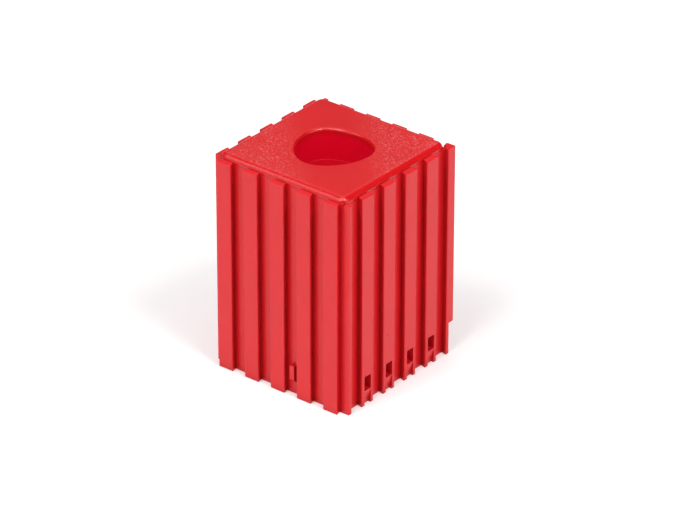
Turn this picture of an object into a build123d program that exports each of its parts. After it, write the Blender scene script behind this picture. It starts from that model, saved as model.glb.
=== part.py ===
from build123d import *
from math import radians, sin, cos, sqrt
import os

# A moulded square block with a socket in its top. Dovetail ribs on its four sides slide into the
# grooves of a neighbouring block, and snap nubs catch the neighbours. It is three pieces: the
# ribbed shell, the lid that closes its top, and the liner that carries the socket on down from the
# lid. Lid and liner are pressed together and lift out of the shell as one. The socket has three
# rounded lobes, so that a round shank is gripped along three lines.
# Sides: right is +X, back is +Y, left is -X, front is -Y. The origin is the centre of the underside.

# Driving dimensions, in millimetres
pitch = 10.0                # from rib to rib
height = 70.8               # overall
wall_face = 23.7            # from the middle to the outside of a wall, which is the groove floor
rib_depth = 2.0             # how far a rib stands out of the wall
rib_tip_width = 5.5         # dovetail: wide at the tip, narrow at the root
rib_root_width = 4.2
wall = 2.0                  # thickness of the shell's walls
seam = 68.6                 # where the lid rests on the shell
rib_top = 69.2              # the ribs reach a little past the lid's edge
socket_narrow = 10.85       # from the socket's axis to its three flanks
socket_wide = 12.05         # and to its three lobes
lobe_angles = (30, 150, 270)    # one of them points to the front

# The ribs
rib_face = wall_face + rib_depth
edge_round = 0.3            # on the ribs' outer edges
burial = 1.0                # how far a rib's solid reaches into the wall, so that they join
short_rib_start = 10.5      # the back ribs stop short of the floor, above a neighbour's nubs
five_ribs = [-2 * pitch, -pitch, 0, pitch, 2 * pitch]
four_ribs = [-1.5 * pitch, -0.5 * pitch, 0.5 * pitch, 1.5 * pitch]
post_centre = 2.5 * pitch   # a corner post is a rib cut off by the corner
post_tip = post_centre - rib_tip_width / 2
post_root = post_centre - rib_root_width / 2

# Snap windows, lead-in ramps and nubs
window_width = 3.0
window_bottom = 4.95
window_top = 9.75
window_corner = 0.4
ramp_depth = 1.1            # of the lead-in channel, at the floor
nub_width = 1.65
nub_height = 1.25           # how far it stands out of the groove floor
nub_bottom = 5.2
nub_top = 9.8
nub_ramp = 1.3              # length of the nub's sloping end
front_nub = 0.5 * pitch     # the front has one nub, in this groove

# Inside the shell
cavity_face = wall_face - wall
cavity_corner = 1.0
bare_corner = 1.0           # rounding of the one corner that has no post, front left
rim_gap = 0.1               # between the lid's edge and the tips of the ribs above the seam
web_thickness = 1.2         # four webs centre the liner
web_bottom = 5.0
web_top = 40.0
web_gap = 0.25
foot_start = 9.0            # the webs' feet reach in under the liner
foot_top = 12.8

# Lid
lid_corner = 2.5            # plan radius of its corners
lid_edge = 2.0              # rounding of its rim
lid_chamfer = 0.15          # along the lower edge of its rim
lip_round = 1.0             # of the socket's mouth
spigot_gap = 0.15
spigot_wall = 1.5
spigot_depth = 8.0
spigot_face = cavity_face - spigot_gap
collar_radius = 15.2
collar_bottom = 46.0

# Liner
liner_top = 60.6            # where the lid's own bore ends and the liner's begins
liner_bottom = 13.0
liner_wall = 1.25
liner_gap = 0.05            # inside the collar
liner_floor = 1.5
liner_chamfer = 0.12        # around its mouth
drain_radius = 4.0
liner_radius = socket_wide + liner_wall

# The socket's outline is a three-sided curve of constant width: a Reuleaux triangle, grown evenly
lobe_centre = (socket_wide - socket_narrow) / (2 - sqrt(3))
lobe_radius = socket_wide - lobe_centre

right, back, left, front = range(4)


def turned(side):
    """The place of a side's frame: a quarter turn about Z for each side after the right one."""
    return Location((0, 0, 0), (0, 0, 90 * side))


def lobed(level, grow=0.0):
    """The socket's outline at a height, grown by a wall or a gap."""
    corners = [
        (lobe_centre * cos(radians(angle)), lobe_centre * sin(radians(angle)))
        for angle in lobe_angles
    ]
    flank = lobe_centre * sqrt(3)
    with BuildSketch(Plane.XY.offset(level)) as outline:
        with BuildLine():
            for start, end in zip(corners, corners[1:] + corners[:1]):
                RadiusArc(start, end, -flank)
        make_face()
        offset(amount=lobe_radius + grow, kind=Kind.ARC)
    return outline.sketch


def bar(outline, start, end):
    """A rib or post: its outline drawn on the right side, raised, with rounded outer edges."""
    with BuildPart() as made:
        with BuildSketch(Plane.XY.offset(start)):
            with BuildLine():
                Polyline(*outline, close=True)
            make_face()
        extrude(amount=end - start)
        outer = made.faces().sort_by(Axis.X)[-1]
        fillet(outer.edges(), edge_round)
    return made.part


def dovetail(start, end):
    """One rib on the right side at Y = 0."""
    slope = (rib_tip_width - rib_root_width) / 2 / rib_depth
    buried_half = rib_root_width / 2 - slope * burial
    tip_half = rib_tip_width / 2
    outline = [
        (wall_face - burial, -buried_half),
        (rib_face, -tip_half),
        (rib_face, tip_half),
        (wall_face - burial, buried_half),
    ]
    return bar(outline, start, end)


def corner_post(start, end, reach):
    """The corner post at the right side's front end: a rib cut off at Y = -reach."""
    outline = [
        (wall_face - burial, -reach),
        (rib_face, -reach),
        (rib_face, -post_tip),
        (wall_face, -post_root),
        (wall_face - burial, -post_root),
    ]
    return bar(outline, start, end)


def nub(shoulder, slope_start, slope_end):
    """A snap nub on the right side's wall at Y = 0: a square shoulder, a top and a slope."""
    with BuildPart() as catch:
        with BuildSketch(Plane.XZ):
            with BuildLine():
                Polyline(
                    (wall_face - burial, shoulder),
                    (wall_face + nub_height, shoulder),
                    (wall_face + nub_height, slope_start),
                    (wall_face, slope_end),
                    (wall_face - burial, slope_end),
                    close=True,
                )
            make_face()
        extrude(amount=nub_width / 2, both=True)
    return catch.part


full_rib = dovetail(0, rib_top)
short_rib = dovetail(short_rib_start, rib_top)
near_post = corner_post(0, rib_top, wall_face)
far_post = near_post.mirror(Plane.XZ)
corner_block = corner_post(short_rib_start, rib_top, rib_face)
short_post = corner_post(short_rib_start, rib_top, wall_face).mirror(Plane.XZ)
catch_up = nub(nub_top, nub_bottom, nub_bottom - nub_ramp)
catch_down = nub(nub_bottom, nub_top - nub_ramp, nub_top)

# The shell: a square tube, open below, with its ribs, corner posts, nubs and windows
with BuildPart() as shell:
    with BuildSketch():
        Rectangle(2 * wall_face, 2 * wall_face)
        fillet(vertices().sort_by(Axis.X)[:2].sort_by(Axis.Y)[:1], bare_corner)
    extrude(amount=seam)
    for side, places, rib in (
        (right, four_ribs, full_rib),
        (back, four_ribs, short_rib),
        (left, five_ribs, full_rib),
        (front, five_ribs, full_rib),
    ):
        with Locations(turned(side)):
            with Locations([(0, place, 0) for place in places]):
                add(rib)
    add(near_post)
    add(far_post)
    add(corner_block.mirror(Plane.XZ))
    with Locations(turned(back)):
        add(corner_block)
        add(short_post)
    with Locations(turned(front)):
        with Locations((0, front_nub, 0)):
            add(catch_up)
    with Locations(turned(left)):
        with Locations([(0, place, 0) for place in four_ribs]):
            add(catch_down)

    # the cavity, and room for the lid's edge between the tips of the ribs
    with BuildSketch():
        RectangleRounded(2 * cavity_face, 2 * cavity_face, cavity_corner)
    extrude(amount=seam, mode=Mode.SUBTRACT)
    with BuildSketch(Plane.XY.offset(seam)):
        Rectangle(2 * (wall_face + rim_gap), 2 * (wall_face + rim_gap))
    extrude(amount=rib_top - seam, mode=Mode.SUBTRACT)

    # the webs that centre the liner, with a foot under it
    web_start = liner_radius + web_gap
    for side in (right, back, left, front):
        with Locations(turned(side)):
            with Locations((web_start, 0, web_bottom)):
                Box(
                    cavity_face + burial - web_start,
                    web_thickness,
                    web_top - web_bottom,
                    align=(Align.MIN, Align.CENTER, Align.MIN),
                )
            with Locations((foot_start, 0, web_bottom)):
                Box(
                    web_start + burial - foot_start,
                    web_thickness,
                    foot_top - web_bottom,
                    align=(Align.MIN, Align.CENTER, Align.MIN),
                )

    # a snap window through each right-hand rib, and the ramp that leads a nub up to it
    for place in four_ribs:
        with BuildSketch(Plane.YZ.offset(cavity_face - burial)):
            with Locations((place, window_bottom)):
                Rectangle(
                    window_width,
                    window_top - window_bottom,
                    align=(Align.CENTER, Align.MIN),
                )
            fillet(vertices().group_by(Axis.Z)[-1], window_corner)
        extrude(amount=wall + rib_depth + 2 * burial, mode=Mode.SUBTRACT)
        with BuildSketch(Plane.XZ.offset(-place)):
            with BuildLine():
                Polyline(
                    (rib_face, window_bottom),
                    (rib_face - ramp_depth, 0),
                    (rib_face + burial, 0),
                    (rib_face + burial, window_bottom),
                    close=True,
                )
            make_face()
        extrude(amount=window_width / 2, both=True, mode=Mode.SUBTRACT)

# The lid: a plate with a rounded rim, a spigot that fits the shell, and the collar for the liner
with BuildPart() as lid:
    with BuildSketch(Plane.XY.offset(seam)):
        RectangleRounded(2 * wall_face, 2 * wall_face, lid_corner)
    extrude(amount=height - seam)
    fillet(lid.edges().group_by(Axis.Z)[-1], lid_edge)
    chamfer(lid.edges().group_by(Axis.Z)[0], lid_chamfer)
    with BuildSketch(Plane.XY.offset(seam)):
        RectangleRounded(2 * spigot_face, 2 * spigot_face, cavity_corner)
        offset(amount=-spigot_wall, mode=Mode.SUBTRACT)
    extrude(amount=-spigot_depth)
    for side in (right, back, left, front):
        with Locations(turned(side)):
            with Locations((collar_radius - burial, 0, seam)):
                Box(
                    spigot_face - spigot_wall - collar_radius + 2 * burial,
                    web_thickness,
                    spigot_depth,
                    align=(Align.MIN, Align.CENTER, Align.MAX),
                )
    with BuildSketch(Plane.XY.offset(collar_bottom)):
        Circle(collar_radius)
    extrude(amount=seam - collar_bottom)
    add(lobed(liner_top))
    extrude(amount=height - liner_top, mode=Mode.SUBTRACT)
    fillet(lid.faces().sort_by(Axis.Z)[-1].inner_wires()[0].edges(), lip_round)
    add(lobed(collar_bottom, liner_wall + liner_gap))
    extrude(amount=liner_top - collar_bottom, mode=Mode.SUBTRACT)

# The liner: a lobed cup with a drain hole
with BuildPart() as liner:
    add(lobed(liner_bottom, liner_wall))
    extrude(amount=liner_top - liner_bottom)
    add(lobed(liner_bottom + liner_floor))
    extrude(amount=liner_top - liner_bottom - liner_floor, mode=Mode.SUBTRACT)
    chamfer(liner.faces().sort_by(Axis.Z)[-1].inner_wires()[0].edges(), liner_chamfer)
    with BuildSketch(Plane.XY.offset(liner_bottom)):
        Circle(drain_radius)
    extrude(amount=liner_floor, mode=Mode.SUBTRACT)

os.makedirs("parts", exist_ok=True)
shell.part.label = "ribbed_body"
lid.part.label = "top_cap"
liner.part.label = "socket_liner"
for piece in (shell.part, lid.part, liner.part):
    export_step(piece, f"parts/{piece.label}.step")
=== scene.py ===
import math

import bpy
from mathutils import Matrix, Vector


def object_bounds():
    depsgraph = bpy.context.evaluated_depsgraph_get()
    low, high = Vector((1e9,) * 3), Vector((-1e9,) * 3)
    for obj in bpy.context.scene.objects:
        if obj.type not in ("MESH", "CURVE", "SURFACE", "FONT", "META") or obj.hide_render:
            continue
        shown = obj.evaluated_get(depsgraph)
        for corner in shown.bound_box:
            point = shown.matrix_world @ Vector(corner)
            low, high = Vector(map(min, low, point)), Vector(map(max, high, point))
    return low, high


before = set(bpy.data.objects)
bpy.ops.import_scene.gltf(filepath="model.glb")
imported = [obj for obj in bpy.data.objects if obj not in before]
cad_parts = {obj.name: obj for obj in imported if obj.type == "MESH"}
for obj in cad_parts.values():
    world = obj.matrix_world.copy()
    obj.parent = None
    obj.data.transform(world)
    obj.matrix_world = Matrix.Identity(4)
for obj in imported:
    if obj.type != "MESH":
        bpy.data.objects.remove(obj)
cad_low, cad_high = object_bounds()
centre = (cad_low + cad_high) / 2
top = cad_high.z
MM = 0.001

# Hollows whose walls are given painted light, as light coming through the plastic, measured from the
# object's axis
SOCKET_REACH = 12.06 * MM           # just past the socket's three lobes
CAVITY_REACH = 22.5 * MM            # just past the inner faces of the shell's walls

# Camera: a long lens, far off, looking down on the front right corner
CAMERA_AZIMUTH = 39.291
CAMERA_ELEVATION = 28.774
CAMERA_DISTANCE = 1330.182 * MM
CAMERA_TARGET = Vector((0, 0, 35 * MM))

WHITE = (1, 1, 1, 1)

# Red mouldings, as linear colours
BODY_RED = (0.66, 0.008, 0.013)
LID_RED = (0.60, 0.007, 0.010)
PAINTED_LIGHT_RED = (0.80, 0.003, 0.024)     # painted light deep in the socket and the shell's hollows, as light coming through the plastic
PALE_EDGE_RED = (0.95, 0.030, 0.035)     # paler outer edges
PAINTED_GLINT = (0.95, 0.30, 0.28)        # painted glints on the lid's spark-eroded grain
SHADE_AND_SPECK_RED = (0.30, 0.003, 0.004)     # painted shade for corners and grooves, and dark moulding specks


# Materials

def node(tree, kind, **settings):
    """A new node, with its settings and, by socket name, its inputs: fixed values or links."""
    made = tree.nodes.new(kind)
    for name, value in settings.items():
        if name not in made.inputs:
            setattr(made, name, value)
        elif isinstance(value, bpy.types.NodeSocket):
            tree.links.new(value, made.inputs[name])
        else:
            made.inputs[name].default_value = value
    return made


def ranged(tree, value, start, end, low, high):
    """A linked value that runs from start to end, turned into one from low to high."""
    made = node(tree, "ShaderNodeMapRange", Value=value)
    made.inputs["From Min"].default_value = start
    made.inputs["From Max"].default_value = end
    made.inputs["To Min"].default_value = low
    made.inputs["To Max"].default_value = high
    return made.outputs["Result"]


def product(tree, first, second):
    """The product of two linked amounts."""
    made = node(tree, "ShaderNodeMath", operation="MULTIPLY")
    tree.links.new(first, made.inputs[0])
    tree.links.new(second, made.inputs[1])
    return made.outputs["Value"]


def position(tree):
    """Where a point is on the object, in metres: the vector, and its X, Y and Z."""
    where = node(tree, "ShaderNodeTexCoord").outputs["Object"]
    parts = node(tree, "ShaderNodeSeparateXYZ", Vector=where)
    return where, *parts.outputs


def tint_over(material, amount, colour):
    """Mixes a colour over a material's own by a linked amount."""
    tree = material.node_tree
    base = tree.nodes["Principled BSDF"].inputs["Base Color"]
    mix = node(tree, "ShaderNodeMix", data_type="RGBA")
    under, over = (socket for socket in mix.inputs if socket.type == "RGBA")
    tree.links.new(amount, mix.inputs["Factor"])
    tree.links.new(base.links[0].from_socket, under)
    over.default_value = (*colour, 1)
    tree.links.new(next(socket for socket in mix.outputs if socket.type == "RGBA"), base)


def moulded(name, red, roughness, specular, grain_size, grain_depth):
    """A moulded plastic: slightly mottled colour, uneven gloss and a fine grain."""
    material = bpy.data.materials.new(name)
    material.use_nodes = True
    tree = material.node_tree
    shader = tree.nodes["Principled BSDF"]
    shader.inputs["IOR"].default_value = 1.5
    shader.inputs["Specular IOR Level"].default_value = specular
    where, _, _, _ = position(tree)
    blotches_per_metre = 90.0
    flow = node(
        tree, "ShaderNodeTexNoise", Vector=where, Scale=blotches_per_metre, Detail=4.0, Roughness=0.6
    )

    mottle = 0.04
    tint = node(tree, "ShaderNodeValToRGB", Fac=flow.outputs["Fac"])
    darker, paler = tint.color_ramp.elements
    darker.position = 0.3
    darker.color = (*(channel * (1 - mottle) for channel in red), 1)
    paler.position = 0.7
    paler.color = (*(channel * (1 + mottle) for channel in red), 1)
    tree.links.new(tint.outputs["Color"], shader.inputs["Base Color"])

    smooth = roughness * 0.85
    dull = roughness * 1.15
    uneven = ranged(tree, flow.outputs["Fac"], start=0, end=1, low=smooth, high=dull)
    tree.links.new(uneven, shader.inputs["Roughness"])

    grain = node(tree, "ShaderNodeTexNoise", Vector=where, Scale=1 / grain_size, Detail=2.0)
    relief = node(tree, "ShaderNodeBump", Distance=grain_depth, Height=grain.outputs["Fac"])
    tree.links.new(relief.outputs["Normal"], shader.inputs["Normal"])
    return material


def add_painted_shade(material, most):
    """Paints shade into a material's corners and grooves, at most by the given amount."""
    tree = material.node_tree
    reach = 3.0 * MM
    corners = node(tree, "ShaderNodeAmbientOcclusion", Distance=reach)
    shade_amount = ranged(tree, corners.outputs["AO"], start=0.35, end=0.95, low=most, high=0)
    tint_over(material, shade_amount, SHADE_AND_SPECK_RED)


def add_pale_edges(material):
    """Makes a material paler along its outer edges, in patches.

    An edge is where the normal, rounded over a small radius, leaves the face's own normal.
    """
    tree = material.node_tree
    edge_width = 0.4 * MM
    rounded = node(tree, "ShaderNodeBevel", Radius=edge_width)
    flat = node(tree, "ShaderNodeNewGeometry")
    facing = node(tree, "ShaderNodeVectorMath", operation="DOT_PRODUCT")
    tree.links.new(rounded.outputs["Normal"], facing.inputs[0])
    tree.links.new(flat.outputs["Normal"], facing.inputs[1])
    edge = ranged(tree, facing.outputs["Value"], start=0.99, end=0.85, low=0, high=1)
    where, _, _, _ = position(tree)
    patches_per_metre = 400.0
    patches = node(tree, "ShaderNodeTexNoise", Vector=where, Scale=patches_per_metre, Detail=3.0)
    amount = ranged(tree, patches.outputs["Fac"], start=0.35, end=0.65, low=0.15, high=0.5)
    tint_over(material, product(tree, edge, amount), PALE_EDGE_RED)


def add_specks(material):
    """Scatters a few dark moulding specks over a material."""
    tree = material.node_tree
    where, _, _, _ = position(tree)
    spacing = 13 * MM
    cells = node(tree, "ShaderNodeTexVoronoi", Vector=where, Scale=1 / spacing)
    speck = ranged(tree, cells.outputs["Distance"], start=0.02, end=0.035, low=0.7, high=0)
    tint_over(material, speck, SHADE_AND_SPECK_RED)


def add_polish_and_painted_glints(material):
    """Paints glints on a lid's flat top towards two of its corners, and smooths its rounded edges."""
    tree = material.node_tree
    where, x, y, z = position(tree)
    rounding_starts = top - 0.02 * MM
    rounding_shows = top - 0.2 * MM
    flat_top = ranged(tree, z, start=rounding_shows, end=rounding_starts, low=0, high=1)

    # the front left and back right corners are those where X and Y have the same sign
    across = node(tree, "ShaderNodeMath", operation="ADD")
    tree.links.new(x, across.inputs[0])
    tree.links.new(y, across.inputs[1])
    off_centre = node(tree, "ShaderNodeMath", operation="ABSOLUTE")
    tree.links.new(across.outputs["Value"], off_centre.inputs[0])
    corners = ranged(tree, off_centre.outputs["Value"], start=10 * MM, end=22 * MM, low=0, high=1)
    # painted glints: pale dots on the flat top towards those two corners
    dot_size = 0.45 * MM
    dots = node(tree, "ShaderNodeTexNoise", Vector=where, Scale=1 / dot_size, Detail=1.0)
    glint_amount = ranged(tree, dots.outputs["Fac"], start=0.54, end=0.74, low=0.01, high=0.5)
    tint_over(material, product(tree, product(tree, flat_top, corners), glint_amount), PAINTED_GLINT)

    polish = ranged(tree, z, start=rounding_shows, end=rounding_starts, low=0.45, high=1)
    roughness = tree.nodes["Principled BSDF"].inputs["Roughness"]
    tree.links.new(product(tree, roughness.links[0].from_socket, polish), roughness)


def round_reach(tree, x, y):
    """A point's distance from the object's axis, for a round hollow."""
    flat = node(tree, "ShaderNodeCombineXYZ", X=x, Y=y)
    length = node(tree, "ShaderNodeVectorMath", operation="LENGTH")
    tree.links.new(flat.outputs["Vector"], length.inputs[0])
    return length.outputs["Value"]


def square_reach(tree, x, y):
    """The larger of a point's two distances from the object's middle, for a square hollow."""
    reach = node(tree, "ShaderNodeMath", operation="MAXIMUM")
    for across, socket in zip((x, y), reach.inputs):
        off_centre = node(tree, "ShaderNodeMath", operation="ABSOLUTE")
        tree.links.new(across, off_centre.inputs[0])
        tree.links.new(off_centre.outputs["Value"], socket)
    return reach.outputs["Value"]


def add_painted_light(material, distance_from_axis, reach, depth):
    """Paints light onto the walls within reach of the axis, from a depth below the top down."""
    tree = material.node_tree
    _, x, y, z = position(tree)
    fade_starts = top - depth
    fade_ends = fade_starts - 2 * MM
    below = ranged(tree, z, start=fade_starts, end=fade_ends, low=0, high=1)
    distance = distance_from_axis(tree, x, y)
    inside = ranged(tree, distance, start=reach + 0.04 * MM, end=reach, low=0, high=1)
    tint_over(material, product(tree, below, inside), PAINTED_LIGHT_RED)


def dress(name, material):
    """Gives a CAD node its finished material."""
    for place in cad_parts[name].material_slots:
        place.material = material


body = moulded(
    "body_plastic", BODY_RED, roughness=0.32, specular=0.38, grain_size=1.2 * MM, grain_depth=0.02 * MM
)
add_painted_shade(body, 0.5)
add_pale_edges(body)
add_specks(body)
add_painted_light(body, square_reach, CAVITY_REACH, depth=4 * MM)
dress("ribbed_body", body)

lid = moulded(
    "lid_plastic", LID_RED, roughness=0.38, specular=0.5, grain_size=0.4 * MM, grain_depth=0.06 * MM
)
add_painted_shade(lid, 0.3)
add_polish_and_painted_glints(lid)
add_specks(lid)
add_painted_light(lid, round_reach, SOCKET_REACH, depth=0.8 * MM)
dress("top_cap", lid)

liner = moulded(
    "liner_plastic", BODY_RED, roughness=0.5, specular=0.3, grain_size=1.5 * MM, grain_depth=0.02 * MM
)
add_painted_shade(liner, 0.2)
add_painted_light(liner, round_reach, SOCKET_REACH, depth=8 * MM)
dress("socket_liner", liner)


# Floor

def floor():
    """A plain, bright floor that glows faintly, as a light table does."""
    half = 3.0
    mesh = bpy.data.meshes.new("floor")
    corners = [(-half, -half, 0), (half, -half, 0), (half, half, 0), (-half, half, 0)]
    mesh.from_pydata(corners, [], [(0, 1, 2, 3)])
    made = bpy.data.objects.new("floor", mesh)
    bpy.context.scene.collection.objects.link(made)
    material = bpy.data.materials.new("floor_paint")
    material.use_nodes = True
    shader = material.node_tree.nodes["Principled BSDF"]
    shader.inputs["Base Color"].default_value = (0.93, 0.93, 0.93, 1)
    shader.inputs["Roughness"].default_value = 0.9
    shader.inputs["Specular IOR Level"].default_value = 0.1
    shader.inputs["Emission Color"].default_value = WHITE
    shader.inputs["Emission Strength"].default_value = 0.125
    mesh.materials.append(material)


floor()


# Light: a dim room and soft boxes

def direction(azimuth, elevation):
    """The way from the object, in degrees: azimuth from the front towards the right."""
    turn = math.radians(azimuth)
    tilt = math.radians(elevation)
    return Vector((
        math.sin(turn) * math.cos(tilt),
        -math.cos(turn) * math.cos(tilt),
        math.sin(tilt),
    ))


def aimed(name, data, target, away, distance):
    """An object for a light or camera, placed away from its target and turned towards it."""
    made = bpy.data.objects.new(name, data)
    made.location = target + away * distance
    made.rotation_euler = away.to_track_quat("Z", "Y").to_euler()
    bpy.context.scene.collection.objects.link(made)
    return made


def soft_box(name, azimuth, elevation, distance, width, watts):
    """A square area light aimed at the object's middle."""
    light = bpy.data.lights.new(name, "AREA")
    light.size = width
    light.energy = watts
    aimed(name, light, centre, direction(azimuth, elevation), distance)


# the two main lights, left and right of the camera
soft_box("box_left", azimuth=0, elevation=54, distance=1.2, width=0.55, watts=5.8)
soft_box("box_right", azimuth=82, elevation=53, distance=1.2, width=0.4, watts=6.0)
# fill from above, in front and behind
soft_box("box_top", azimuth=39, elevation=85, distance=1.4, width=1.0, watts=4.5)
soft_box("box_front", azimuth=39, elevation=62, distance=1.3, width=0.8, watts=1.2)
soft_box("box_back", azimuth=219, elevation=55, distance=1.4, width=1.2, watts=3.2)
# the glint along the lid's left rim, and low fill for the two sides in view
soft_box("box_rim", azimuth=-50, elevation=42, distance=1.2, width=0.5, watts=1.6)
soft_box("box_right_low", azimuth=100, elevation=25, distance=1.2, width=1.0, watts=3.8)
soft_box("box_left_low", azimuth=-20, elevation=25, distance=1.2, width=1.0, watts=3.1)

room = bpy.data.worlds.new("room")
room.use_nodes = True
glow = room.node_tree.nodes["Background"]
glow.inputs["Color"].default_value = WHITE
glow.inputs["Strength"].default_value = 0.02
bpy.context.scene.world = room
bpy.context.scene.view_settings.view_transform = "Standard"


# Camera

def camera():
    """The camera, turned towards its target."""
    lens = bpy.data.cameras.new("camera")
    lens.lens = 239.16
    lens.sensor_width = 36.0
    lens.shift_x = 0.00915
    lens.shift_y = 0.00094
    lens.clip_start = 0.05
    lens.clip_end = 50.0
    away = direction(CAMERA_AZIMUTH, CAMERA_ELEVATION)
    return aimed("camera", lens, CAMERA_TARGET, away, CAMERA_DISTANCE)


bpy.context.scene.camera = camera()
